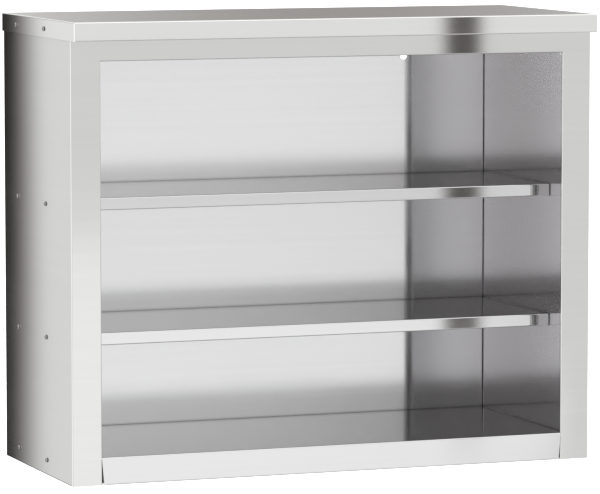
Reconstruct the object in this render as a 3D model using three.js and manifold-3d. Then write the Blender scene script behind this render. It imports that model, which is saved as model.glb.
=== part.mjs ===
// An open-fronted wall cabinet of folded stainless sheet: hollow double-skinned sides, a lid with a
// skirt, a header rail, a back panel, two screw-fixed shelves and a floor with a front apron.
// Millimetres, +Z up, front towards -Y. The origin is the middle of the cabinet's footprint, on the
// surface that it stands on.

import * as THREE from "three";
import { mergeVertices } from "three/addons/utils/BufferGeometryUtils.js";
import Module from "manifold-3d";

// ---------------------------------------------------------------- driving dimensions

const width = 900; // over the lid
const depth = 397; // over the lid
const height = 739;
const sheet = 1; // sheet thickness
const bend = 1.8; // outside radius of a fold
const gap = 0.3; // between pieces that touch

const skirt = 30; // height of the lid's skirt
const frontOverhang = 25; // of the lid, ahead of the front frame
const rearOverhang = 5; // of the lid, behind the sides
const stileWidth = 50;
const stileReturn = 8; // fold along a stile's inner edge
const railHeight = 33.2; // of the header rail, below the lid's skirt
const sideHollow = 42.7; // from the outside of a side to the face of its inner wall
const backInset = 20; // from the rear edge of the sides to the face of the back panel

const apronHeight = 44.7; // of the bottom shelf
const apronSlit = { width: 1.6, height: 38, depth: 5 }; // wedge left open at each end of the apron
const shelfThickness = 20;
const shelfSetback = 65; // behind the front frame
const shelfTops = { upper: 453.8, lower: 236.4 };

const screwSetbacks = { front: 136, rear: 289 }; // behind the front frame
const screwHeights = { cover: 722.5, upper_shelf: 441, lower_shelf: 225, bottom_shelf: 24.5 };
const screwDiameter = 3.8; // M4, over its crests
const screwHead = { diameter: 7.6, height: 2.2, rim: 0.35, crown: 4, socket: 2.5, socketDepth: 1.3 };
const screwChamfer = 0.6; // at the tip
const shortScrew = 9; // length under the head of the lid's screws
const longScrewReach = 7; // of the other screws, past the end of a shelf
const nut = { diameter: 8, corners: 6.9, height: 3.2, collar: 0.8 };
const rivet = {
  diameter: 4, head: 8, shoulder: 7, crown: 4.5, headHeight: 1.4, tail: 6, tailLength: 4, tailTaper: 1.2,
};
const rivetHeights = [100, 280, 510, 690];
const holeClearance = 0.5; // on the diameter of a hole for a screw or a rivet

const hangingHole = { x: 256.7, z: 655.4, diameter: 12 };
const hat = { width: 60, depth: 12, brim: 12, setback: 45 }; // stiffener section, and from a shelf's end
const postWidth = 40;

// ---------------------------------------------------------------- planes worked out from them

const lidFront = -depth / 2;
const lidRear = depth / 2;
const front = lidFront + frontOverhang; // face of the stiles, rail and apron
const rear = lidRear - rearOverhang; // rear edge of the sides
const sideFace = width / 2 - sheet - gap; // outside face of a side
const stileEdge = sideFace - stileWidth; // inner edge of a stile
const wallFace = sideFace - sideHollow; // face of an inner wall
const backFace = rear - backInset; // face of the back panel
const lidUnderside = height - sheet;
const innerTop = lidUnderside - gap; // top of everything under the lid
const innerBottom = sheet + gap; // bottom of what stands on a side's bottom fold
const shelfEnd = wallFace - gap;
const shelfRear = backFace - gap;

// ---------------------------------------------------------------- solids

const wasm = await Module();
wasm.setup();

function solid(geometry) {
  geometry.deleteAttribute("normal");
  geometry.deleteAttribute("uv");
  const merged = mergeVertices(geometry, 1e-4);
  return new wasm.Manifold(new wasm.Mesh({
    numProp: 3,
    vertProperties: new Float32Array(merged.attributes.position.array),
    triVerts: new Uint32Array(merged.index.array),
  }));
}

function geometryOf(manifold) {
  const mesh = manifold.getMesh();
  const geometry = new THREE.BufferGeometry();
  geometry.setAttribute("position", new THREE.BufferAttribute(new Float32Array(mesh.vertProperties), 3));
  geometry.setIndex(new THREE.BufferAttribute(new Uint32Array(mesh.triVerts), 1));
  return geometry;
}

function block(x, y, z) {
  const geometry = new THREE.BoxGeometry(x[1] - x[0], y[1] - y[0], z[1] - z[0]);
  geometry.translate((x[0] + x[1]) / 2, (y[0] + y[1]) / 2, (z[0] + z[1]) / 2);
  return solid(geometry);
}

// Turns an extrusion's own axes (outline u, v and depth w) into x, y, z.
const axesOf = {
  x: new THREE.Matrix4().makeBasis(
    new THREE.Vector3(0, 1, 0), new THREE.Vector3(0, 0, 1), new THREE.Vector3(1, 0, 0)),
  y: new THREE.Matrix4().makeBasis(
    new THREE.Vector3(0, 0, 1), new THREE.Vector3(1, 0, 0), new THREE.Vector3(0, 1, 0)),
  z: new THREE.Matrix4(),
};

// An outline drawn across an axis, in the order (y, z), (z, x) or (x, y), and run along it.
function prism(outline, axis, from, to) {
  const geometry = new THREE.ExtrudeGeometry(new THREE.Shape(outline), {
    depth: to - from,
    bevelEnabled: false,
  });
  geometry.translate(0, 0, from);
  geometry.applyMatrix4(axesOf[axis]);
  return solid(geometry);
}

function arcAt(before, corner, after, radius) {
  const steps = 3;
  const a = before.clone().sub(corner).normalize();
  const b = after.clone().sub(corner).normalize();
  const half = Math.acos(THREE.MathUtils.clamp(a.dot(b), -1, 1)) / 2;
  const centre = corner.clone().addScaledVector(a.clone().add(b).normalize(), radius / Math.sin(half));
  const first = corner.clone().addScaledVector(a, radius / Math.tan(half)).sub(centre);
  const turn = Math.sign(a.cross(b)) * -(Math.PI - 2 * half);
  return Array.from({ length: steps + 1 }, (_, i) =>
    first.clone().rotateAround(new THREE.Vector2(), (turn * i) / steps).add(centre));
}

// A line with its corners rounded: to `radius` where it turns left and `rightRadius` where it turns right.
function roundedLine(points, radius, rightRadius) {
  return points.flatMap((corner, i) => {
    if (i === 0 || i === points.length - 1) return [corner];
    const before = points[i - 1];
    const after = points[i + 1];
    const left = corner.clone().sub(before).cross(after.clone().sub(corner)) > 0;
    return arcAt(before, corner, after, left ? radius : rightRadius);
  });
}

function lineToTheLeft(points, distance) {
  const normals = points.slice(1).map((point, i) => {
    const along = point.clone().sub(points[i]).normalize();
    return new THREE.Vector2(-along.y, along.x);
  });
  return points.map((point, i) => {
    const before = normals[Math.max(i - 1, 0)];
    const after = normals[Math.min(i, normals.length - 1)];
    const both = before.clone().add(after);
    return point.clone().addScaledVector(both, distance / (1 + before.dot(after)));
  });
}

// Sheet folded along a line of [u, v] corners, with its thickness on the left of the line.
function foldedSheet(corners, axis, from, to) {
  const face = corners.map(([u, v]) => new THREE.Vector2(u, v));
  const other = lineToTheLeft(face, sheet);
  const outline = [
    ...roundedLine(face, bend, bend - sheet),
    ...roundedLine(other, bend - sheet, bend).reverse(),
  ];
  return prism(outline, axis, from, to);
}

function roundedOutline(u, v, radius) {
  const middle = new THREE.Vector2((u[0] + u[1]) / 2, v[0]);
  const corners = [[u[1], v[0]], [u[1], v[1]], [u[0], v[1]], [u[0], v[0]]];
  const loop = [middle, ...corners.map(([a, b]) => new THREE.Vector2(a, b)), middle];
  return roundedLine(loop, radius, radius).slice(0, -1);
}

// A block whose four upright edges and whose edges round the closed face are rounded.
// closed names the axis and end of that face, such as "z+"; the open end runs on by `extra`.
function roundedBlock(x, y, z, radius, closed, extra = 0) {
  const spans = { x: [...x], y: [...y], z: [...z] };
  const axis = closed[0];
  const openEnd = closed[1] === "+" ? 0 : 1;
  const reach = 3 * radius + extra;
  spans[axis][openEnd] += openEnd === 0 ? -reach : reach;
  const whole = [
    prism(roundedOutline(spans.y, spans.z, radius), "x", ...spans.x),
    prism(roundedOutline(spans.z, spans.x, radius), "y", ...spans.y),
    prism(roundedOutline(spans.x, spans.y, radius), "z", ...spans.z),
  ].reduce((a, b) => a.intersect(b));
  const kept = { x: [...x], y: [...y], z: [...z] };
  kept[axis][openEnd] += openEnd === 0 ? -extra : extra;
  return whole.intersect(block(kept.x, kept.y, kept.z));
}

function inset(span) {
  return [span[0] + sheet, span[1] - sheet];
}

// A pan of folded sheet, open on the side opposite its closed face.
function pan(x, y, z, closed) {
  const inner = { x: inset(x), y: inset(y), z: inset(z) };
  const axis = closed[0];
  if (closed[1] === "+") inner[axis][0] -= sheet;
  else inner[axis][1] += sheet;
  return {
    outer: roundedBlock(x, y, z, bend, closed),
    hollow: roundedBlock(inner.x, inner.y, inner.z, bend - sheet, closed, sheet),
  };
}

// A pan's hollow, less the fold that turns in along the bottom of its front edge.
function aboveFrontFold(hollow, y, z) {
  const reach = 12;
  return hollow.subtract(block([-width, width], [y - sheet, y + reach], [z - 3 * sheet, z + sheet]));
}

// A round hole along an axis: at is its place on the two axes across it, in the prism's own order.
function drill(axis, at, diameter, from, to, sides = 8) {
  const outline = Array.from({ length: sides }, (_, i) => {
    const angle = (2 * Math.PI * (i + 0.5)) / sides;
    return new THREE.Vector2(
      at[0] + (diameter / 2) * Math.cos(angle),
      at[1] + (diameter / 2) * Math.sin(angle),
    );
  });
  return prism(outline, axis, from, to);
}

// ---------------------------------------------------------------- the cabinet as a group

const cabinet = new THREE.Group();
cabinet.name = "open_wall_cabinet";

function steel(color, roughness) {
  return new THREE.MeshStandardMaterial({ color, roughness, metalness: 1 });
}

const finishes = {
  casing: steel(0xcdcdc9, 0.26),
  shelf: steel(0xc9c9c6, 0.28),
  frame: steel(0xb4b4b0, 0.4),
  fastener: steel(0xbdbdb9, 0.3),
};

function add(name, geometry, finish) {
  const mesh = new THREE.Mesh(geometry, finishes[finish]);
  mesh.name = name;
  cabinet.add(mesh);
  return mesh;
}

// The left-hand copy of a right-hand piece.
function mirrored(geometry) {
  const copy = geometry.clone();
  copy.scale(-1, 1, 1);
  const index = copy.index.array;
  for (let i = 0; i < index.length; i += 3) {
    [index[i], index[i + 1]] = [index[i + 1], index[i]];
  }
  return copy;
}

function addPair(name, manifold, finish) {
  const right = geometryOf(manifold);
  add(`right_${name}`, right, finish);
  add(`left_${name}`, mirrored(right), finish);
}

// Holes for the screws of the given rows, from one x to another.
function screwHoles(rows, from, to) {
  const diameter = screwDiameter + holeClearance;
  return rows.flatMap((row) => Object.values(screwSetbacks).map((setback) =>
    drill("x", [front + setback, screwHeights[row]], diameter, from, to)));
}

function cut(body, tools) {
  return tools.reduce((left, tool) => left.subtract(tool), body);
}

// ---------------------------------------------------------------- lid and front frame

function topCover() {
  const skirtEdge = height - skirt;
  const { outer, hollow } = pan([-width / 2, width / 2], [lidFront, lidRear], [skirtEdge, height], "z+");
  const body = outer.subtract(aboveFrontFold(hollow, lidFront, skirtEdge));
  return cut(body, screwHoles(["cover"], -width, width));
}

function headerRail() {
  const bottom = height - skirt - railHeight;
  const flange = 20;
  const lip = 12;
  const corners = [
    [front + flange, innerTop],
    [front, innerTop],
    [front, bottom],
    [front + flange, bottom],
    [front + flange, bottom + lip],
  ];
  return foldedSheet(corners, "x", -stileEdge + gap, stileEdge - gap);
}

// ---------------------------------------------------------------- hollow sides

const everyRow = Object.keys(screwHeights);
const shelfRows = everyRow.filter((row) => row !== "cover");

function sidePanel() {
  const fold = 36; // width of the rear and bottom folds
  const line = [
    [stileEdge, front + stileReturn],
    [stileEdge, front],
    [sideFace, front],
    [sideFace, rear],
    [sideFace - fold, rear],
  ].map(([x, y]) => new THREE.Vector2(x, y));
  const outline = [...roundedLine(line, bend, bend), new THREE.Vector2(sideFace - fold, line[0].y)];
  const inside = lineToTheLeft(line, sheet);
  inside[0].y += bend; // past the end of the return
  inside.at(-1).x -= bend; // past the end of the rear fold
  const hollow = prism(roundedLine(inside, bend - sheet, bend), "z", sheet, height);
  const skin = prism(outline, "z", 0, innerTop).subtract(hollow);
  return cut(skin, screwHoles(everyRow, sideFace - 2 * sheet, sideFace + sheet));
}

function innerWall() {
  const fold = 25;
  const near = front + sheet + gap;
  const far = rear - sheet - gap;
  const corners = [
    [wallFace + fold, far],
    [wallFace, far],
    [wallFace, near],
    [wallFace + fold, near],
  ];
  const wall = foldedSheet(corners, "z", innerBottom, innerTop);
  const holes = [
    ...screwHoles(shelfRows, wallFace - sheet, wallFace + 2 * sheet),
    ...rivetHoles(wallFace - sheet, wallFace + 2 * sheet),
  ];
  return cut(wall, holes);
}

function post(setback) {
  const y = front + setback;
  const outside = sideFace - sheet - gap;
  const inside = wallFace + sheet + gap;
  const corners = [
    [inside, y - postWidth / 2],
    [outside, y - postWidth / 2],
    [outside, y + postWidth / 2],
    [inside, y + postWidth / 2],
  ];
  const channel = foldedSheet(corners, "z", innerBottom, innerTop);
  return cut(channel, screwHoles(everyRow, outside - 2 * sheet, outside + sheet));
}

// ---------------------------------------------------------------- back, shelves and stiffeners

const rivetRow = (backFace + sheet + rear) / 2;

function rivetHoles(from, to) {
  return rivetHeights.map((z) =>
    drill("x", [rivetRow, z], rivet.diameter + holeClearance, from, to));
}

function backPanel() {
  const { outer, hollow } = pan([-shelfEnd, shelfEnd], [backFace, rear], [innerBottom, innerTop], "y-");
  const hanging = drill(
    "y", [hangingHole.z, hangingHole.x], hangingHole.diameter, backFace - sheet, backFace + 2 * sheet, 32);
  return cut(outer.subtract(hollow), [hanging, ...rivetHoles(-width, width)]);
}

function shelf(top, row) {
  const y = front + shelfSetback;
  const bottom = top - shelfThickness;
  const { outer, hollow } = pan([-shelfEnd, shelfEnd], [y, shelfRear], [bottom, top], "z+");
  const body = outer.subtract(aboveFrontFold(hollow, y, bottom));
  return cut(body, screwHoles([row], -width, width));
}

function bottomShelf() {
  const apronEnd = stileEdge - gap;
  const behindStiles = front + stileReturn + gap;
  const apronReach = front + shelfSetback;
  const floor = pan([-shelfEnd, shelfEnd], [behindStiles, shelfRear], [0, apronHeight], "z+");
  const apron = pan([-apronEnd, apronEnd], [front, apronReach], [0, apronHeight], "z+");
  const hollow = aboveFrontFold(floor.hollow.add(apron.hollow), front, 0);
  const body = floor.outer.add(apron.outer).subtract(hollow);
  const slits = [-1, 1].map((side) => apronEndSlit(side, apronEnd));
  return cut(body, [...slits, ...screwHoles(["bottom_shelf"], -width, width)]);
}

// The wedge between the end of the apron and the stile, which closes towards the top.
function apronEndSlit(side, end) {
  const outline = [
    new THREE.Vector2(-sheet, side * (end + gap)),
    new THREE.Vector2(-sheet, side * (end - apronSlit.width)),
    new THREE.Vector2(apronSlit.height, side * end),
    new THREE.Vector2(apronSlit.height, side * (end + gap)),
  ];
  return prism(outline, "y", front - sheet, front + apronSlit.depth);
}

// A hat section under a flat sheet whose underside is at z.
function stiffener(z, y, halfLength) {
  const top = z - gap - sheet;
  const web = hat.width / 2 - hat.brim;
  const corners = [
    [y - hat.width / 2, top],
    [y - web, top],
    [y - web, top - hat.depth],
    [y + web, top - hat.depth],
    [y + web, top],
    [y + hat.width / 2, top],
  ];
  return foldedSheet(corners, "x", -halfLength, halfLength);
}

// ---------------------------------------------------------------- fasteners

// Turned about the x axis: profile points are [x, radius], from the tip to the outer end.
function turned(profile, sides) {
  const points = profile.map(([x, radius]) => new THREE.Vector2(radius, x));
  const geometry = new THREE.LatheGeometry(points, sides);
  geometry.rotateZ(-Math.PI / 2);
  return solid(geometry);
}

// A button-head screw: its head's seat is at x = 0 and its tip at x = -length.
function screw(length) {
  const sides = 10;
  const radius = screwDiameter / 2;
  const flat = screwHead.crown / screwHead.diameter; // share of the head's width that its crown has
  const dome = [0, 0.6, 1].map((part) => [
    screwHead.rim + (screwHead.height - screwHead.rim) * part,
    (screwHead.diameter / 2) * Math.sqrt(1 - (1 - flat * flat) * part * part),
  ]);
  const profile = [
    [-length, 0],
    [-length, radius - screwChamfer],
    [-length + screwChamfer, radius],
    [0, radius],
    [0, screwHead.diameter / 2],
    ...dome,
    [screwHead.height, 0],
  ];
  const floor = screwHead.height - screwHead.socketDepth;
  const socket = drill("x", [0, 0], screwHead.socket / Math.cos(Math.PI / 6), floor, height, 6);
  return turned(profile, sides).subtract(socket);
}

function flangeNut() {
  const radius = nut.diameter / 2;
  const flange = turned([[-nut.collar, 0], [-nut.collar, radius], [0, radius], [0, 0]], 12);
  const hexagon = drill("x", [0, 0], nut.corners, -nut.height, -nut.collar / 2, 6);
  const bore = drill("x", [0, 0], screwDiameter + holeClearance, -height, height);
  return flange.add(hexagon).subtract(bore);
}

// A blind rivet: its head's seat is at x = 0, on the side of the back panel's fold.
function blindRivet() {
  const stack = 2 * sheet + 3 * gap;
  const end = stack + rivet.tailLength;
  const profile = [
    [-rivet.headHeight, 0],
    [-rivet.headHeight, rivet.crown / 2],
    [-rivet.headHeight / 2, rivet.shoulder / 2],
    [0, rivet.head / 2],
    [0, rivet.diameter / 2],
    [stack, rivet.diameter / 2],
    [stack, rivet.tail / 2],
    [end - rivet.tailTaper, rivet.tail / 2],
    [end, rivet.diameter / 4],
    [end, 0],
  ];
  return turned(profile, 8);
}

function addFastener(name, geometry, side, x, y, z) {
  const mesh = add(name, side < 0 ? mirrored(geometry) : geometry, "fastener");
  mesh.position.set(side * x, y, z);
}

function addScrewsAndNuts() {
  const lidScrew = geometryOf(screw(shortScrew));
  const shelfScrew = geometryOf(screw(sideFace - shelfEnd + longScrewReach));
  const nutShape = geometryOf(flangeNut());
  for (const [hand, side] of [["left", -1], ["right", 1]]) {
    for (const [place, setback] of Object.entries(screwSetbacks)) {
      for (const [row, z] of Object.entries(screwHeights)) {
        const inLid = row === "cover";
        const seat = (inLid ? width / 2 : sideFace) + gap;
        const nutSeat = inLid ? sideFace - 2 * (sheet + gap) : shelfEnd - sheet - gap;
        const y = front + setback;
        addFastener(`${hand}_${place}_${row}_screw`, inLid ? lidScrew : shelfScrew, side, seat, y, z);
        addFastener(`${hand}_${place}_${row}_nut`, nutShape, side, nutSeat, y, z);
      }
    }
  }
}

function addRivets() {
  const shape = geometryOf(blindRivet());
  for (const [hand, side] of [["left", -1], ["right", 1]]) {
    rivetHeights.forEach((z, i) => {
      addFastener(`${hand}_back_rivet_${i + 1}`, shape, side, shelfEnd - sheet - gap, rivetRow, z);
    });
  }
}

// ---------------------------------------------------------------- assembly

add("top_cover", geometryOf(topCover()), "casing");
add("header_rail", geometryOf(headerRail()), "casing");
addPair("side_panel", sidePanel(), "casing");
addPair("inner_wall", innerWall(), "casing");
add("back_panel", geometryOf(backPanel()), "casing");
add("upper_shelf", geometryOf(shelf(shelfTops.upper, "upper_shelf")), "shelf");
add("lower_shelf", geometryOf(shelf(shelfTops.lower, "lower_shelf")), "shelf");
add("bottom_shelf", geometryOf(bottomShelf()), "shelf");

for (const [place, setback] of Object.entries(screwSetbacks)) {
  addPair(`${place}_post`, post(setback), "frame");
}

const hatReach = shelfEnd - hat.setback;
const shelfMiddle = (front + shelfSetback + shelfRear) / 2;
const hatPlaces = {
  cover: [lidUnderside, 0],
  upper_shelf: [shelfTops.upper - sheet, shelfMiddle],
  lower_shelf: [shelfTops.lower - sheet, shelfMiddle],
  bottom_shelf: [apronHeight - sheet, shelfMiddle],
};
for (const [name, [z, y]] of Object.entries(hatPlaces)) {
  add(`${name}_stiffener`, geometryOf(stiffener(z, y, hatReach)), "frame");
}

addScrewsAndNuts();
addRivets();

export default cabinet;
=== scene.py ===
"""The looks of an open-fronted stainless wall cabinet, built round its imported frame.

Every piece is folded sheet or a turned fastener. Sheet pieces start as flat faces that share corners,
and bevel and solidify modifiers give them their fold radius and thickness. Metres, +Z up, front
towards -Y.
"""

import math

import bmesh
import bpy
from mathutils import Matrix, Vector


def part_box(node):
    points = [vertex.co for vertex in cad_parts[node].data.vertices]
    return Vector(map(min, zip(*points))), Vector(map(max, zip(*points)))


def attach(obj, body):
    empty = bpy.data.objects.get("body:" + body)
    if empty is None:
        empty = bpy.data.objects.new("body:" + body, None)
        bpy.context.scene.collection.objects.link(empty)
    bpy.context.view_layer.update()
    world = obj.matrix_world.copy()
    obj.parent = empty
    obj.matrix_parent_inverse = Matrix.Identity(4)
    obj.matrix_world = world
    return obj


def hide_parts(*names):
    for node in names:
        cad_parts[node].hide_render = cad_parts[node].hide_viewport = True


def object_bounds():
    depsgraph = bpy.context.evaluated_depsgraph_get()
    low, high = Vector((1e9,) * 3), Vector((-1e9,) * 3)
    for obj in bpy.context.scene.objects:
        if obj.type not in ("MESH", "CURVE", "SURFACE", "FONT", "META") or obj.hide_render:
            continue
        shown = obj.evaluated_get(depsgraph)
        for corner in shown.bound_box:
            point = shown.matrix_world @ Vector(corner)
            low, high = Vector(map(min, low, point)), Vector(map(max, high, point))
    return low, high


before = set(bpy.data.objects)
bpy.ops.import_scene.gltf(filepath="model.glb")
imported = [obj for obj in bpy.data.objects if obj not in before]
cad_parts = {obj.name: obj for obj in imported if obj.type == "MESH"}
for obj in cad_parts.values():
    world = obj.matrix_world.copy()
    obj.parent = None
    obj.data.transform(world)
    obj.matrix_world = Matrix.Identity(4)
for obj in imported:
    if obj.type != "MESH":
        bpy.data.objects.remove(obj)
cad_low, cad_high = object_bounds()

# ---------------------------------------------------------------- sizes that the frame doesn't hold

SHEET = 0.001
BEND = 0.0018  # outside radius of a fold
BEND_STEPS = 5
FOLD_ANGLE = math.radians(40)  # an edge that turns more than this is a fold, and is rounded
SMOOTH_ANGLE = math.radians(35)  # an edge that turns more than this stays sharp

FRONT_FOLD = 0.012  # turned in along the bottom of a front edge
FOLD_RELIEF = 0.004  # that the fold stops short of each end
STILE_RETURN = 0.008
SIDE_FOLD = 0.036  # turned in along the rear and the bottom of a side
WALL_FOLD = 0.025
RAIL_LIP = 0.012
SLIT_WIDTH = 0.003  # of the wedge at each end of the apron
SLIT_TOP = 0.0415
TAB_WIDTH = 0.01  # of the tab that backs each slit
HAT_BRIM = 0.012
HANGING_HOLE = (0.2567, 0.6554, 0.006)  # x, z and radius
HOLE_STEPS = 64
DRILL_REACH = 0.005  # that the rod which cuts the hole stands out on each side

HEAD_RADIUS = 0.0038
HEAD_HEIGHT = 0.0022
HEAD_RIM = 0.00035  # height of the head's straight edge, under its dome
DOME_STEPS = (0.15, 0.3, 0.45, 0.6, 0.72, 0.82, 0.9, 0.96, 1.0)  # shares of the dome's height
DOME_CURVE = 0.72  # 1 would be a dome that closes at its top
SOCKET_RADIUS = 0.00125  # across the flats, halved
SOCKET_DEPTH = 0.0013
SOCKET_TIP = 0.0004  # depth of the cone at the socket's bottom
SHANK_RADIUS = 0.0019
THREAD_LENGTH = 0.009
THREAD_PITCH = 0.0007
THREAD_DEPTH = 0.0003
TURNED_EDGE = 0.0001  # the small chamfer that a turned edge keeps
TURNED_STEPS = 48

RIVET_HEAD = 0.004  # radius
RIVET_RISE = 0.0014
RIVET_SHANK = 0.002  # radius
RIVET_GRIP = 0.0029  # of the sheets between its head and its tail
RIVET_TAIL = 0.003  # radius of the formed tail
RIVET_DOME = ((1.0, 0.3), (0.95, 0.42), (0.7, 0.72), (0.35, 0.93), (0.0, 1.0))  # rise and radius


# ---------------------------------------------------------------- folded sheet


class Shell:
    """Flat faces that share corners, each drawn anticlockwise as seen from outside."""

    def __init__(self):
        self.mesh = bmesh.new()
        self.corners = {}

    def corner(self, point):
        key = tuple(round(value, 6) for value in point)
        if key not in self.corners:
            self.corners[key] = self.mesh.verts.new(key)
        return self.corners[key]

    def face(self, points):
        self.mesh.faces.new([self.corner(point) for point in points])


def new_object(name, data):
    obj = bpy.data.objects.new(name, data)
    bpy.context.scene.collection.objects.link(obj)
    return obj


def object_from(name, shape):
    """Turns a bmesh into an object, and frees it."""
    mesh = bpy.data.meshes.new(name)
    shape.to_mesh(mesh)
    shape.free()
    return new_object(name, mesh)


def modified(obj):
    """Applies obj's modifiers to its mesh."""
    graph = bpy.context.evaluated_depsgraph_get()
    mesh = bpy.data.meshes.new_from_object(obj.evaluated_get(graph))
    obj.modifiers.clear()
    obj.data = mesh


def shade(obj):
    """Smooth round the bends, and truly flat on the flats."""
    obj.data.shade_smooth()
    obj.data.set_sharp_from_angle(angle=SMOOTH_ANGLE)
    weighted = obj.modifiers.new("flat_faces", "WEIGHTED_NORMAL")
    weighted.keep_sharp = True
    weighted.weight = 100  # the large faces decide alone


def folded(name, shell, holes=()):
    """Rounds the folds of a shell, and gives it the sheet's thickness on its inside."""
    obj = object_from(name, shell.mesh)
    bevel = obj.modifiers.new("folds", "BEVEL")
    bevel.width = BEND
    bevel.segments = BEND_STEPS
    bevel.limit_method = "ANGLE"
    bevel.angle_limit = FOLD_ANGLE
    thickness = obj.modifiers.new("thickness", "SOLIDIFY")
    thickness.thickness = SHEET
    thickness.offset = -1
    thickness.use_even_offset = True
    for hole in holes:
        cut = obj.modifiers.new("hole", "BOOLEAN")
        cut.operation = "DIFFERENCE"
        cut.solver = "EXACT"
        cut.object = hole
    modified(obj)
    for hole in holes:
        bpy.data.objects.remove(hole)
    shade(obj)
    return obj


def pan(plan, low, high, place, front_fold=False):
    """A pan's shell: plan is its outline seen from its closed face, at high, and it is open at low.

    place turns (u, v, w) into a point. The first side runs along the front, and may have a fold.
    """
    shell = Shell()
    shell.face([place(u, v, high) for u, v in plan])
    for i, (start, end) in enumerate(zip(plan, plan[1:] + plan[:1])):
        bottom = [place(*start, low), place(*end, low)]
        if i == 0 and front_fold:
            relief = FOLD_RELIEF
            inner = [(start[0] + relief, start[1]), (end[0] - relief, end[1])]
            bottom[1:1] = [place(*point, low) for point in inner]
            turned_in = [(u, v + FRONT_FOLD) for u, v in inner]
            shell.face([place(*p, low) for p in (inner[0], turned_in[0], turned_in[1], inner[1])])
        shell.face([*bottom, place(*end, high), place(*start, high)])
    return shell


def upward(u, v, w):
    return (u, v, w)


def forward(u, v, w):
    """For a pan whose closed face looks to the front: w grows towards -Y."""
    return (u, -w, v)


def rectangle(low, high):
    return [(low[0], low[1]), (high[0], low[1]), (high[0], high[1]), (low[0], high[1])]


def swept(corners, start, end, place):
    """The shell of a section run from start to end. Its thickness is on the left of the corners."""
    shell = Shell()
    for a, b in zip(corners, corners[1:]):
        shell.face([place(*a, start), place(*b, start), place(*b, end), place(*a, end)])
    return shell


def along_x(u, v, w):
    return (w, u, v)


def mirrored(points):
    """The left-hand copy of a right-hand section, with its thickness still on the left."""
    return [(-u, v) for u, v in reversed(points)]


# ---------------------------------------------------------------- turned pieces


def ring(radius, hexagonal, steps):
    """Points round a circle, or round a hexagon that has radius across its flats, halved."""
    points = []
    for step in range(steps):
        angle = 2 * math.pi * step / steps
        reach = radius
        if hexagonal:
            sector = math.pi / 3
            reach = radius / math.cos((angle % sector) - sector / 2)
        points.append((reach * math.cos(angle), reach * math.sin(angle)))
    return points


def skinned(name, loops, closed=False):
    """A body whose skin joins each loop of points to the next one.

    A closed body's last loop joins its first one. Any other body has a cap on both ends.
    """
    shape = bmesh.new()
    loops = [[shape.verts.new(point) for point in loop] for loop in loops]
    pairs = list(zip(loops, loops[1:]))
    if closed:
        pairs.append((loops[-1], loops[0]))
    else:
        shape.faces.new(loops[0])
        shape.faces.new(loops[-1])
    for a, b in pairs:
        for step in range(len(a)):
            after = (step + 1) % len(a)
            shape.faces.new([a[step], a[after], b[after], b[step]])
    bmesh.ops.recalc_face_normals(shape, faces=shape.faces)
    return object_from(name, shape)


def turned(name, rings, side, centre, closed=False):
    """A body of rings along X: each ring is (x, radius, hexagonal), outwards from the cabinet.

    side is 1 on the right and -1 on the left.
    """
    loops = [
        [
            (centre[0] + side * x, centre[1] + y, centre[2] + z)
            for y, z in ring(radius, hexagonal, TURNED_STEPS)
        ]
        for x, radius, hexagonal in rings
    ]
    obj = skinned(name, loops, closed)
    shade(obj)
    return obj


def drill(x, z, radius, y):
    """A rod along Y, to cut a round hole with."""
    loops = [
        [(x + u, depth, z + v) for u, v in ring(radius, False, HOLE_STEPS)]
        for depth in (y - DRILL_REACH, y + DRILL_REACH)
    ]
    return skinned("drill", loops)


# ---------------------------------------------------------------- node helpers


class Tree:
    """Adds shader nodes by name, with plain values or other nodes' outputs as inputs."""

    def __init__(self, tree):
        self.tree = tree
        tree.nodes.clear()

    def add(self, kind, inputs=None, **settings):
        node = self.tree.nodes.new(kind)
        for key, value in settings.items():
            setattr(node, key, value)
        for key, value in (inputs or {}).items():
            if isinstance(value, bpy.types.NodeSocket):
                self.tree.links.new(value, node.inputs[key])
            else:
                node.inputs[key].default_value = value
        return node

    def math(self, operation, *values):
        node = self.add("ShaderNodeMath", dict(enumerate(values)), operation=operation)
        return node.outputs[0]

    def vector(self, operation, a, b):
        node = self.add("ShaderNodeVectorMath", {0: a, 1: b}, operation=operation)
        return node.outputs[0]

    def scaled(self, vector, share):
        node = self.add("ShaderNodeVectorMath", {0: vector, "Scale": share}, operation="SCALE")
        return node.outputs[0]

    def ramp(self, value, start, end, low=0.0, high=1.0):
        """Goes smoothly from low to high as value goes from start to end."""
        node = self.add(
            "ShaderNodeMapRange",
            {"Value": value, "From Min": start, "From Max": end, "To Min": low, "To Max": high},
            interpolation_type="SMOOTHSTEP",
        )
        return node.outputs["Result"]

    def noise(self, where, scale, detail=2.0):
        node = self.add("ShaderNodeTexNoise", {"Vector": where, "Scale": scale, "Detail": detail})
        return node.outputs["Fac"]

    def mix(self, share, a, b):
        """Goes from number a to number b as share goes from 0 to 1."""
        return self.math("MULTIPLY_ADD", share, self.math("SUBTRACT", b, a), a)


def new_material(name):
    """A material, and the tree of its nodes."""
    material = bpy.data.materials.new(name)
    material.use_nodes = True
    return material, Tree(material.node_tree)


# ---------------------------------------------------------------- brushed steel

ALONG_GRAIN = 3.0  # noise cells in a metre
ACROSS_GRAIN = 1800.0
GRAIN_DETAIL = 3.0
GRAIN_RUN = (1.0, 0.02, 0.0)  # a little off X, so that the sides have a direction across it too
GRAIN_DEPTH = 0.0000012
GRAIN_GLOSS = 0.3  # share of the roughness that the grain moves it by
STREAK_STRETCH = (0.3, 0.06, 0.06)  # shares of the grain's cells in a metre
STREAK_SHADE = 0.05
SMUDGE_SCALE = 9.0
SMUDGE_DETAIL = 4.0
SMUDGE_SHADE = 0.03
SMUDGE_GLOSS = 0.3
DARKEST_STEEL = 0.96  # share of the colour where streaks and smudges are darkest
WAVE_SCALE = 2.5
WAVE_DEPTH = 0.00003
ANISOTROPY = 1.0

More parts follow.
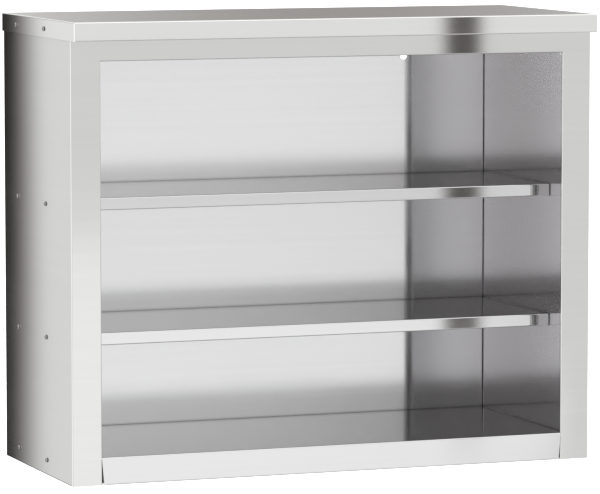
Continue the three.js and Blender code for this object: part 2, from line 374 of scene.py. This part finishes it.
JOINT_REACH = 0.006  # how far the painted shade of a joint reaches
PAINTED_JOINT_SHADE = 0.25  # share of the colour left in the deepest joint, where the painted shade is darkest
JOINT_OPENNESS = (0.1, 0.95)  # of the deepest joint, and of a clean face
JOINT_SAMPLES = 6
FOOT_HEIGHTS = (0.01, 0.004)  # the painted shade of a joint is gone below these, since the floor is no joint
PAINTED_LOW_SHADE_HEIGHTS = (0.4, 0.46)  # heights between which the painted shade below the upper shelf gives way to the full colour


def painted_joint_shade(tree, height):
    """The share of the colour that the steel keeps near a joint, where sheets meet: painted shade from
    ambient occlusion darkens corners and gaps.
    """
    near = tree.add("ShaderNodeAmbientOcclusion", {"Distance": JOINT_REACH}, samples=JOINT_SAMPLES)
    shade_left = tree.ramp(near.outputs["AO"], *JOINT_OPENNESS, PAINTED_JOINT_SHADE, 1.0)
    return tree.math("MAXIMUM", shade_left, tree.ramp(height, *FOOT_HEIGHTS))


def brushed_steel(name, colour, roughness, level_roughness=None, metallic=1.0, painted_low_shade=1.0):
    """Stainless sheet with a fine horizontal grain: its gloss spreads across the grain.

    level_roughness is for its level faces, where they are duller than its upright ones. The last
    argument is the share of its colour left below the upper shelf, as painted shade there. Painted shade
    also darkens the colour near every joint.
    """
    material, tree = new_material(name)
    where = tree.add("ShaderNodeTexCoord").outputs["Object"]
    height = tree.add("ShaderNodeSeparateXYZ", {0: where}).outputs["Z"]
    normal = tree.add("ShaderNodeNewGeometry").outputs["Normal"]
    level = tree.math("ABSOLUTE", tree.add("ShaderNodeSeparateXYZ", {0: normal}).outputs["Z"])

    across_y = tree.mix(level, ALONG_GRAIN, ACROSS_GRAIN)
    stretch = tree.add("ShaderNodeCombineXYZ", {0: ALONG_GRAIN, 1: across_y, 2: ACROSS_GRAIN}).outputs[0]
    grain = tree.noise(tree.vector("MULTIPLY", where, stretch), 1.0, GRAIN_DETAIL)
    streak_stretch = tree.vector("MULTIPLY", stretch, STREAK_STRETCH)
    streaks = tree.noise(tree.vector("MULTIPLY", where, streak_stretch), 1.0)
    smudges = tree.noise(where, SMUDGE_SCALE, SMUDGE_DETAIL)
    waves = tree.noise(where, WAVE_SCALE, 0.0)

    smudged = tree.math("MULTIPLY_ADD", smudges, SMUDGE_SHADE, DARKEST_STEEL)
    wear_and_painted_shade = tree.math("MULTIPLY_ADD", streaks, STREAK_SHADE, smudged)
    # Painted shade: the colour darkens near joints, where sheets meet.
    wear_and_painted_shade = tree.math("MULTIPLY", wear_and_painted_shade, painted_joint_shade(tree, height))
    # Painted shade: the colour is darker below the upper shelf.
    wear_and_painted_shade = tree.math("MULTIPLY", wear_and_painted_shade, tree.ramp(height, *PAINTED_LOW_SHADE_HEIGHTS, painted_low_shade, 1.0))
    tint = tree.add("ShaderNodeRGB").outputs[0]
    tint.default_value = (*colour, 1)

    uneven = tree.math("MULTIPLY_ADD", tree.math("SUBTRACT", smudges, 0.5), SMUDGE_GLOSS, 1.0)
    along = tree.math("MULTIPLY_ADD", grain, GRAIN_GLOSS, 1.0 - GRAIN_GLOSS / 2)
    gloss = tree.math("MULTIPLY", along, uneven)
    dullness = tree.mix(level, roughness, level_roughness or roughness)

    wavy = tree.add("ShaderNodeBump", {"Strength": 1.0, "Distance": WAVE_DEPTH, "Height": waves})
    brushed = tree.add(
        "ShaderNodeBump",
        {"Strength": 1.0, "Distance": GRAIN_DEPTH, "Height": grain, "Normal": wavy.outputs[0]},
    )
    # The tangent runs across the grain: up the upright faces, and front to back on the level ones.
    tangent = tree.vector("CROSS_PRODUCT", normal, GRAIN_RUN)
    surface = tree.add(
        "ShaderNodeBsdfPrincipled",
        {
            # The base colour holds the streaks and smudges, and also the painted shade.
            "Base Color": tree.scaled(tint, wear_and_painted_shade),
            "Metallic": metallic,
            "Roughness": tree.math("MULTIPLY", gloss, dullness),
            "Anisotropic": ANISOTROPY,
            "Normal": brushed.outputs[0],
            "Tangent": tangent,
        },
    )
    tree.add("ShaderNodeOutputMaterial", {"Surface": surface.outputs[0]})
    return material


def finishes():
    """The steel of each kind of piece: its colour, and how dull its gloss is."""
    return {
        "frame": brushed_steel("frame_steel", (0.70, 0.70, 0.69), 0.04),
        "lid": brushed_steel("lid_steel", (0.82, 0.82, 0.81), 0.045),
        # The back's colour is darker below the upper shelf: painted shade under the shelf.
        "back": brushed_steel("back_steel", (0.845, 0.845, 0.855), 0.09, metallic=0.9, painted_low_shade=0.9),
        "wall": brushed_steel("wall_steel", (0.80, 0.79, 0.815), 0.045, metallic=0.97),
        "shelf": brushed_steel("shelf_steel", (0.70, 0.70, 0.70), 0.04, level_roughness=0.09),
        "inner": brushed_steel("inner_steel", (0.5, 0.5, 0.49), 0.2),
        "fastener": brushed_steel("fastener_steel", (0.42, 0.41, 0.39), 0.3),
    }


steel = finishes()


def finish_piece(obj, material, node):
    """Paints a piece, and makes it stand for its CAD node, which it hides."""
    obj.data.materials.clear()
    obj.data.materials.append(steel[material])
    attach(obj, "root")
    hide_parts(node)


# ---------------------------------------------------------------- camera

CAMERA_PLACE = Vector((-2.4241, -6.4716, 1.0350))
CAMERA_YAW = math.radians(20.554)  # from +Y towards +X
CAMERA_PITCH = math.radians(5.645)  # down
CAMERA_LENS = 251.49


def make_camera():
    data = bpy.data.cameras.new("camera")
    data.lens = CAMERA_LENS
    data.sensor_width = 36
    data.clip_end = 100
    camera = new_object("camera", data)
    camera.location = CAMERA_PLACE
    level = math.cos(CAMERA_PITCH)
    look = Vector((math.sin(CAMERA_YAW) * level, math.cos(CAMERA_YAW) * level, -math.sin(CAMERA_PITCH)))
    camera.rotation_mode = "QUATERNION"
    camera.rotation_quaternion = look.to_track_quat("-Z", "Y")
    bpy.context.scene.camera = camera


make_camera()

# ---------------------------------------------------------------- studio

# Heights and bearings are in degrees. A bearing ahead is from -Y towards +X, and a bearing behind is
# from +Y towards +X. A span is (start, full, full end, end): what it limits is there between the middle
# two, and has faded out at the outer two.

FRONT_LIGHT = 0.87
LOW_LIGHT = 0.68
LOW_LIGHT_HEIGHTS = (-20.0, -11.0)  # from the low light to the front light
LIFT_SPAN = (10.0, 14.0, 18.0, 30.0)  # heights where a little light is added
LIFT = 0.2
OVERHEAD_HEIGHTS = (40.0, 60.0)
OVERHEAD_LIGHT = 0.25

DISC_CENTRE = (17.5, -7.95)  # bearing ahead, and height
DISC_RADII = (6.7, 2.45)
DISC_RIM = (1.04, 0.96)  # from outside to inside, in radii
DISC_BEARINGS = (17.0, 25.0)
DISC_LIGHT = (0.295, 0.25)  # at those two bearings

LEFT_SPAN = (-34.0, -24.5, -21.9, -16.0)
LEFT_HEIGHTS = (-40.0, -25.0, 20.0, 40.0)
LEFT_STEP = (-23.2, -22.9)
LEFT_LIGHT = (0.4, 0.65)  # before and after the step
LEFT_EDGE = (-23.8, -24.3)
LEFT_EDGE_LIGHT = 0.25
LEFT_LOW = (-5.3, -4.6)
LEFT_LOW_LIGHT = 0.1

CLOTH_HEIGHTS = (1.5, 3.5, 11.0, 17.0)
RIGHT_CLOTH_SPAN = (8.0, 14.0, 30.0, 45.0)
RIGHT_CLOTH_BEARINGS = (18.0, 23.0)
RIGHT_CLOTH_LIGHT = (0.58, 0.36)  # at those two bearings
RIGHT_CLOTH_TOP = (4.8, 6.6)
RIGHT_CLOTH_TOP_LIGHT = 0.12
LEFT_CLOTH_SPAN = (-40.0, -26.0, -21.0, -14.0)
LEFT_CLOTH_LIGHT = 0.07

# Soft boxes, as (bearings ahead, heights, light).
SOFT_BOXES = [
    ((-5.0, 5.0, 38.0, 50.0), (17.0, 22.0, 58.0, 66.0), 1.6),
    ((-115.0, -105.0, -42.0, -34.0), (-14.0, -10.0, 2.0, 6.0), 1.45),
]

# Dark uprights ahead, as (bearing, half width, share of light taken, lowest height).
DARK_UPRIGHTS = [(22.78, 0.25, 0.87, -7.6), (-22.13, 0.17, 1.0, -60.0)]
UPRIGHT_EDGE = (0.5, 1.45)  # from full shade to none, in half widths off its middle
UPRIGHT_FOOT = 0.4  # half the height over which its foot fades

FLAG_HEIGHTS = (-30.0, -20.0, 8.0, 13.0)
GREY_FLAG_SPAN = (8.0, 14.0, 30.0, 60.0)
GREY_FLAG_MIDDLE = 21.1
GREY_FLAG_REACH = 3.2  # degrees from its middle to where it is lighter by GREY_FLAG_RISE
GREY_FLAG_LIGHT = 0.335
GREY_FLAG_RISE = 0.14
GREY_FLAG_MOST = 0.7
BLACK_FLAG_SPAN = (-17.12, -16.55, 8.0, 14.0)
BLACK_FLAG_LIGHT = 0.02

WARM_LIGHTS = (0.0, 0.8)  # from the darkest light, which is warm, to light that is white
WARM_GREEN = 0.93
WARM_BLUE = 0.88


class Studio(Tree):
    """The world's nodes. Each of its steps takes the light so far and gives it back changed."""

    def __init__(self, tree):
        super().__init__(tree)
        look = self.add("ShaderNodeTexCoord").outputs["Generated"]
        parts = self.add("ShaderNodeSeparateXYZ", {0: look}).outputs
        forwards = self.math("MULTIPLY", parts["Y"], -1.0)
        self.ahead = self.degrees(self.math("ARCTAN2", parts["X"], forwards))
        self.behind = self.degrees(self.math("ARCTAN2", parts["X"], parts["Y"]))
        self.height = self.degrees(self.math("ARCSINE", parts["Z"]))

    def degrees(self, angle):
        return self.math("MULTIPLY", angle, 180 / math.pi)

    def between(self, value, start, full, full_end, end):
        """1 from full to full_end, and 0 before start and after end."""
        return self.math("MULTIPLY", self.ramp(value, start, full), self.ramp(value, end, full_end))

    def window(self, bearing, bearings, heights):
        """1 inside a span of bearings and a span of heights, and 0 outside either."""
        across = self.between(bearing, *bearings)
        return self.math("MULTIPLY", across, self.between(self.height, *heights))

    def offset(self, value, centre, reach):
        """How far value is from centre, as a share of reach."""
        return self.math("DIVIDE", self.math("SUBTRACT", value, centre), reach)

    def front_light(self):
        """Plain light, dimmer low down, and a little brighter in a band ahead and overhead."""
        light = self.ramp(self.height, *LOW_LIGHT_HEIGHTS, LOW_LIGHT, FRONT_LIGHT)
        lift = self.math("MULTIPLY", self.between(self.height, *LIFT_SPAN), LIFT)
        light = self.math("ADD", light, lift)
        return self.math("ADD", light, self.ramp(self.height, *OVERHEAD_HEIGHTS, 0.0, OVERHEAD_LIGHT))

    def with_disc(self, light):
        """Adds the bright soft disc that lies low ahead."""
        across = self.offset(self.ahead, DISC_CENTRE[0], DISC_RADII[0])
        up = self.offset(self.height, DISC_CENTRE[1], DISC_RADII[1])
        squares = self.math("ADD", self.math("MULTIPLY", across, across), self.math("MULTIPLY", up, up))
        rim = self.ramp(self.math("SQRT", squares), *DISC_RIM)
        disc = self.math("MULTIPLY", rim, self.ramp(self.ahead, *DISC_BEARINGS, *DISC_LIGHT))
        return self.math("ADD", light, disc)

    def with_left_side(self, light):
        """Dims the left of what is ahead, which the back and the right wall show in one another."""
        left = self.ramp(self.ahead, *LEFT_STEP, *LEFT_LIGHT)
        left = self.math("ADD", left, self.ramp(self.ahead, *LEFT_EDGE, 0.0, LEFT_EDGE_LIGHT))
        left = self.math("ADD", left, self.ramp(self.height, *LEFT_LOW, LEFT_LOW_LIGHT, 0.0))
        return self.mix(self.window(self.ahead, LEFT_SPAN, LEFT_HEIGHTS), light, left)

    def with_cloths(self, light):
        """Hangs dark cloth above eye level: one piece over the disc, and a darker one on the left."""
        right = self.ramp(self.ahead, *RIGHT_CLOTH_BEARINGS, *RIGHT_CLOTH_LIGHT)
        top = self.ramp(self.height, *RIGHT_CLOTH_TOP, 0.0, RIGHT_CLOTH_TOP_LIGHT)
        right = self.math("ADD", right, top)
        light = self.mix(self.window(self.ahead, RIGHT_CLOTH_SPAN, CLOTH_HEIGHTS), light, right)
        left_cloth = self.window(self.ahead, LEFT_CLOTH_SPAN, CLOTH_HEIGHTS)
        return self.mix(left_cloth, light, LEFT_CLOTH_LIGHT)

    def with_soft_boxes(self, light):
        for bearings, heights, brightness in SOFT_BOXES:
            light = self.mix(self.window(self.ahead, bearings, heights), light, brightness)
        return light

    def with_dark_uprights(self, light):
        for bearing, half_width, share, lowest in DARK_UPRIGHTS:
            away = self.math("ABSOLUTE", self.math("SUBTRACT", self.ahead, bearing))
            fade = [half_width * part for part in UPRIGHT_EDGE]
            dark = self.ramp(away, *fade, share, 0.0)
            foot = self.ramp(self.height, lowest - UPRIGHT_FOOT, lowest + UPRIGHT_FOOT)
            dark = self.math("MULTIPLY", dark, foot)
            light = self.math("MULTIPLY", light, self.math("SUBTRACT", 1.0, dark))
        return light

    def with_flags(self, light):
        """Stands a grey flag behind the cabinet on the right, and then a black one behind its left."""
        away = self.offset(self.behind, GREY_FLAG_MIDDLE, GREY_FLAG_REACH)
        square = self.math("MULTIPLY", away, away)
        grey = self.math("MULTIPLY_ADD", square, GREY_FLAG_RISE, GREY_FLAG_LIGHT)
        grey = self.math("MINIMUM", grey, GREY_FLAG_MOST)
        light = self.mix(self.window(self.behind, GREY_FLAG_SPAN, FLAG_HEIGHTS), light, grey)
        black_flag = self.window(self.behind, BLACK_FLAG_SPAN, FLAG_HEIGHTS)
        return self.mix(black_flag, light, BLACK_FLAG_LIGHT)

    def tinted(self, light):
        """Dark light is warm and bright light is white."""
        green = self.ramp(light, *WARM_LIGHTS, WARM_GREEN, 1.0)
        blue = self.ramp(light, *WARM_LIGHTS, WARM_BLUE, 1.0)
        warmth = self.add("ShaderNodeCombineColor", {"Red": 1.0, "Green": green, "Blue": blue})
        return warmth.outputs[0]


def studio_world():
    """Soft light from all round, as the steel mirrors it.

    A bright soft disc lies low ahead under dark cloth, and two thin dark uprights stand ahead on the
    right and on the left. One soft box hangs high ahead and another stands on the left. A black flag
    stands behind the cabinet, and a grey one behind it on the right.
    """
    world = bpy.data.worlds.new("studio")
    bpy.context.scene.world = world
    world.use_nodes = True
    studio = Studio(world.node_tree)
    light = studio.with_disc(studio.front_light())
    light = studio.with_left_side(light)
    light = studio.with_cloths(light)
    light = studio.with_soft_boxes(light)
    light = studio.with_dark_uprights(light)
    light = studio.with_flags(light)
    glow = studio.add("ShaderNodeBackground", {"Color": studio.tinted(light), "Strength": light})
    studio.add("ShaderNodeOutputWorld", {"Surface": glow.outputs[0]})


FLOOR_HALF_WIDTH = 22
FLOOR_GAP = 0.0002  # between the floor and the cabinet's underside
FLOOR_GLOW = 0.75
BACKDROP_RADIUS = 24
BACKDROP_GLOW = 1.05
LAMP_SIZE = (5.0, 4.0)
LAMP_PLACE = (-0.6, -1.0, 3.6)
LAMP_POWER = 180


def glow_material(name, strength):
    material, tree = new_material(name)
    glow = tree.add("ShaderNodeEmission", {"Strength": strength})
    tree.add("ShaderNodeOutputMaterial", {"Surface": glow.outputs[0]})
    return material


def floor_material():
    material, tree = new_material("pale_floor")
    surface = tree.add(
        "ShaderNodeBsdfPrincipled",
        {
            "Base Color": (0.9, 0.9, 0.9, 1),
            "Roughness": 0.9,
            "Emission Color": (1, 1, 1, 1),
            "Emission Strength": FLOOR_GLOW,
        },
    )
    tree.add("ShaderNodeOutputMaterial", {"Surface": surface.outputs[0]})
    return material


def staged(name, shape, material):
    """An object from shape, which the steel doesn't mirror."""
    obj = object_from(name, shape)
    obj.data.materials.append(material)
    obj.visible_glossy = False
    return obj


def make_stage():
    """A pale floor and a white backdrop all round."""
    shape = bmesh.new()
    bmesh.ops.create_grid(shape, x_segments=1, y_segments=1, size=FLOOR_HALF_WIDTH)
    floor = staged("floor", shape, floor_material())
    floor.location.z = cad_low.z - FLOOR_GAP

    shape = bmesh.new()
    bmesh.ops.create_icosphere(shape, subdivisions=5, radius=BACKDROP_RADIUS)
    backdrop = staged("backdrop", shape, glow_material("white_backdrop", BACKDROP_GLOW))
    backdrop.visible_diffuse = False
    backdrop.visible_shadow = False


def make_lights():
    """One big soft light overhead, for the floor and the fasteners."""
    data = bpy.data.lights.new("overhead", "AREA")
    data.shape = "RECTANGLE"
    data.size, data.size_y = LAMP_SIZE
    data.energy = LAMP_POWER
    lamp = new_object("overhead", data)
    lamp.location = LAMP_PLACE
    lamp.visible_glossy = False


studio_world()
make_stage()
make_lights()

# ---------------------------------------------------------------- the lid and the front frame

lid_low, lid_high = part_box("top_cover")
rail_low, rail_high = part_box("header_rail")
side_low, side_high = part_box("right_side_panel")
wall_low, wall_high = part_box("right_inner_wall")
back_low, back_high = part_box("back_panel")
stile_edge = side_low.x  # inner edge of the right stile
front = side_low.y  # face of the stiles, the rail and the apron


def make_lid():
    shell = pan(rectangle(lid_low, lid_high), lid_low.z, lid_high.z, upward, front_fold=True)
    finish_piece(folded("top_cover_sheet", shell), "lid", "top_cover")


def make_header_rail():
    """Its ends run over the stiles' bends, as if welded and brushed flush."""
    end = stile_edge + BEND
    section = [
        (rail_high.y, rail_high.z),
        (rail_low.y, rail_high.z),
        (rail_low.y, rail_low.z),
        (rail_high.y, rail_low.z),
        (rail_high.y, rail_low.z + RAIL_LIP),
    ]
    finish_piece(folded("header_rail_sheet", swept(section, -end, end, along_x)), "frame", "header_rail")


# ---------------------------------------------------------------- hollow sides


def side_shell(side):
    """The outer skin: stile, side and rear fold in one strip, and a fold along the bottom.

    It starts with a lip inside the stile, which reaches the inner wall.
    """
    low, high = side_low, side_high
    fold_end = high.x - SIDE_FOLD
    section = [
        (wall_low.x, front + STILE_RETURN),
        (stile_edge, front + STILE_RETURN),
        (stile_edge, front),
        (high.x, front),
        (high.x, high.y),
        (fold_end, high.y),
    ]
    if side < 0:
        section = mirrored(section)
    shell = Shell()
    for a, b in zip(section, section[1:]):
        bottom = [(*a, low.z), (*b, low.z)]
        if a[0] == b[0] == side * high.x:
            clear = side * (BEND + FOLD_RELIEF)
            inner = [(a[0], a[1] + clear), (a[0], b[1] - clear)]
            bottom[1:1] = [(*point, low.z) for point in inner]
            turned_in = [(side * fold_end, y) for _, y in inner]
            corners = (inner[0], turned_in[0], turned_in[1], inner[1])
            shell.face([(*corner, low.z) for corner in corners])
        shell.face([*bottom, (*b, high.z), (*a, high.z)])
    return shell


def wall_shell(side):
    section = [
        (wall_low.x + WALL_FOLD, wall_high.y),
        (wall_low.x, wall_high.y),
        (wall_low.x, wall_low.y),
        (wall_low.x + WALL_FOLD, wall_low.y),
    ]
    return swept(section if side > 0 else mirrored(section), wall_low.z, wall_high.z, upward)


def post_shell(node, side):
    low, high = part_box(node)
    inside, outside = (low.x, high.x) if side > 0 else (high.x, low.x)
    section = [(inside, low.y), (outside, low.y), (outside, high.y), (inside, high.y)]
    return swept(section if side > 0 else section[::-1], low.z, high.z, upward)


def make_sides():
    for hand, side in (("left", -1), ("right", 1)):
        name = f"{hand}_side_panel"
        finish_piece(folded(f"{name}_sheet", side_shell(side)), "frame", name)
        name = f"{hand}_inner_wall"
        finish_piece(folded(f"{name}_sheet", wall_shell(side)), "wall", name)
        for place in ("front", "rear"):
            name = f"{hand}_{place}_post"
            finish_piece(folded(f"{name}_channel", post_shell(name, side)), "inner", name)


# ---------------------------------------------------------------- back, shelves and stiffeners


def make_back():
    x, z, radius = HANGING_HOLE
    plan = rectangle((back_low.x, back_low.z), (back_high.x, back_high.z))
    shell = pan(plan, -back_high.y, -back_low.y, forward)
    hole = drill(x, z, radius, back_low.y)
    finish_piece(folded("back_panel_sheet", shell, [hole]), "back", "back_panel")


def make_shelves():
    for name in ("upper_shelf", "lower_shelf"):
        low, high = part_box(name)
        shell = pan(rectangle(low, high), low.z, high.z, upward, front_fold=True)
        finish_piece(folded(f"{name}_sheet", shell), "shelf", name)


def make_bottom_shelf():
    """The floor's plate steps out behind the stiles, and its apron is welded between them.

    Each end of the apron is cut away in a wedge below the weld, and a tab stands behind that slit.
    """
    low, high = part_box("bottom_shelf")
    gap = stile_edge - rail_high.x
    corner = stile_edge - gap
    step = front + STILE_RETURN + gap
    weld = stile_edge + BEND
    weld_end = SLIT_TOP + BEND / 2
    slit = corner - SLIT_WIDTH
    slit_end = stile_edge + BEND / 4
    relief = slit - FOLD_RELIEF
    shell = Shell()

    plate = [
        (-corner, front), (corner, front), (corner, step), (high.x, step),
        (high.x, high.y), (low.x, high.y), (low.x, step), (-corner, step),
    ]
    shell.face([(x, y, high.z) for x, y in plate])
    for a, b in zip(plate[3:6], plate[4:7]):
        shell.face([(*a, low.z), (*b, low.z), (*b, high.z), (*a, high.z)])

    right_end = [
        (relief, low.z), (slit, low.z), (slit_end, SLIT_TOP), (weld, weld_end),
        (weld, high.z), (corner, high.z),
    ]
    apron = right_end + mirrored(right_end)
    shell.face([(x, front, z) for x, z in apron])

    fold = rectangle((-relief, front), (relief, front + FRONT_FOLD))
    shell.face([(x, y, low.z) for x, y in reversed(fold)])
    for side in (-1, 1):
        ends = sorted((side * (slit - TAB_WIDTH), side * (weld + SHEET)))
        tab = rectangle((ends[0], low.z), (ends[1], SLIT_TOP))
        shell.face([(x, step, z) for x, z in tab])
    finish_piece(folded("bottom_shelf_sheet", shell), "shelf", "bottom_shelf")


def make_stiffeners():
    for place in ("cover", "upper_shelf", "lower_shelf", "bottom_shelf"):
        name = f"{place}_stiffener"
        low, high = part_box(name)
        top = high.z - SHEET
        bottom = low.z
        section = [
            (low.y, top),
            (low.y + HAT_BRIM, top),
            (low.y + HAT_BRIM, bottom),
            (high.y - HAT_BRIM, bottom),
            (high.y - HAT_BRIM, top),
            (high.y, top),
        ]
        shell = swept(section, low.x, high.x, along_x)
        finish_piece(folded(f"{name}_hat", shell), "inner", name)


# ---------------------------------------------------------------- fasteners


def screw_rings(length):
    """From the tip, at -length, to the top of the button head. The head's seat is at 0."""
    rings = [(-length, SHANK_RADIUS - 2 * THREAD_DEPTH, False)]
    x = -length + THREAD_PITCH
    while x < -length + THREAD_LENGTH:
        rings.append((x, SHANK_RADIUS, False))
        rings.append((x + THREAD_PITCH / 2, SHANK_RADIUS - THREAD_DEPTH, False))
        x += THREAD_PITCH
    rings += [
        (x, SHANK_RADIUS, False),
        (0, SHANK_RADIUS, False),
        (0, HEAD_RADIUS - TURNED_EDGE, False),
        (TURNED_EDGE, HEAD_RADIUS, False),
        (HEAD_RIM, HEAD_RADIUS, False),
    ]
    for part in DOME_STEPS:
        radius = HEAD_RADIUS * math.sqrt(1 - DOME_CURVE * part * part)
        rings.append((HEAD_RIM + (HEAD_HEIGHT - HEAD_RIM) * part, radius, False))
    socket_floor = HEAD_HEIGHT - SOCKET_DEPTH
    rings += [
        (HEAD_HEIGHT, SOCKET_RADIUS + TURNED_EDGE, True),
        (HEAD_HEIGHT - TURNED_EDGE, SOCKET_RADIUS, True),
        (socket_floor, SOCKET_RADIUS, True),
        (socket_floor - SOCKET_TIP, SOCKET_RADIUS * 0.2, True),
    ]
    return rings


def nut_rings():
    """A flanged nut: its seat is at 0 and its body runs inwards. The last rings are its bore."""
    collar, body, edge = 0.0008, 0.0032, 0.0003
    outer, flats, bore = 0.004, 0.0034, 0.0022
    return [
        (0, outer - TURNED_EDGE, False),
        (-TURNED_EDGE, outer, False),
        (-collar + edge, outer, False),
        (-collar, outer - edge, False),
        (-collar - TURNED_EDGE, flats, True),
        (-body + edge, flats, True),
        (-body, flats - edge, False),
        (-body, bore + edge, False),
        (-body + edge, bore, False),
        (-edge, bore, False),
        (0, bore + edge, False),
    ]


def rivet_rings(length):
    """A blind rivet: domed head on the inside, at negative x, and its formed tail at the far end."""
    rings = [(-RIVET_RISE * rise, RIVET_HEAD * radius, False) for rise, radius in RIVET_DOME]
    rings += [
        (0, RIVET_SHANK, False),
        (RIVET_GRIP, RIVET_SHANK, False),
        (RIVET_GRIP + 0.0002, RIVET_TAIL * 0.9, False),
        (RIVET_GRIP + 0.0007, RIVET_TAIL, False),
        (length * 0.7, RIVET_TAIL, False),
        (length, RIVET_SHANK * 0.5, False),
    ]
    return rings


def make_fastener(name, side):
    """Turns the screw, nut or rivet that stands for the CAD node of that name."""
    low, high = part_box(name)
    y, z = (low.y + high.y) / 2, (low.z + high.z) / 2
    inner, outer = (low.x, high.x) if side > 0 else (high.x, low.x)
    length = high.x - low.x
    if name.endswith("_screw"):
        rings, seat = screw_rings(length - HEAD_HEIGHT), outer - side * HEAD_HEIGHT
    elif name.endswith("_nut"):
        rings, seat = nut_rings(), outer
    else:
        rings, seat = rivet_rings(length - RIVET_RISE), inner + side * RIVET_RISE
    obj = turned(f"{name}_turned", rings, side, (seat, y, z), closed=name.endswith("_nut"))
    finish_piece(obj, "fastener", name)


def make_fasteners():
    for hand, side in (("left", -1), ("right", 1)):
        for name in sorted(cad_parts):
            if name.startswith(hand) and (name.endswith(("_screw", "_nut")) or "_rivet_" in name):
                make_fastener(name, side)


make_lid()
make_header_rail()
make_sides()
make_back()
make_shelves()
make_bottom_shelf()
make_stiffeners()
make_fasteners()

# ---------------------------------------------------------------- colour management

bpy.context.scene.view_settings.view_transform = "Standard"
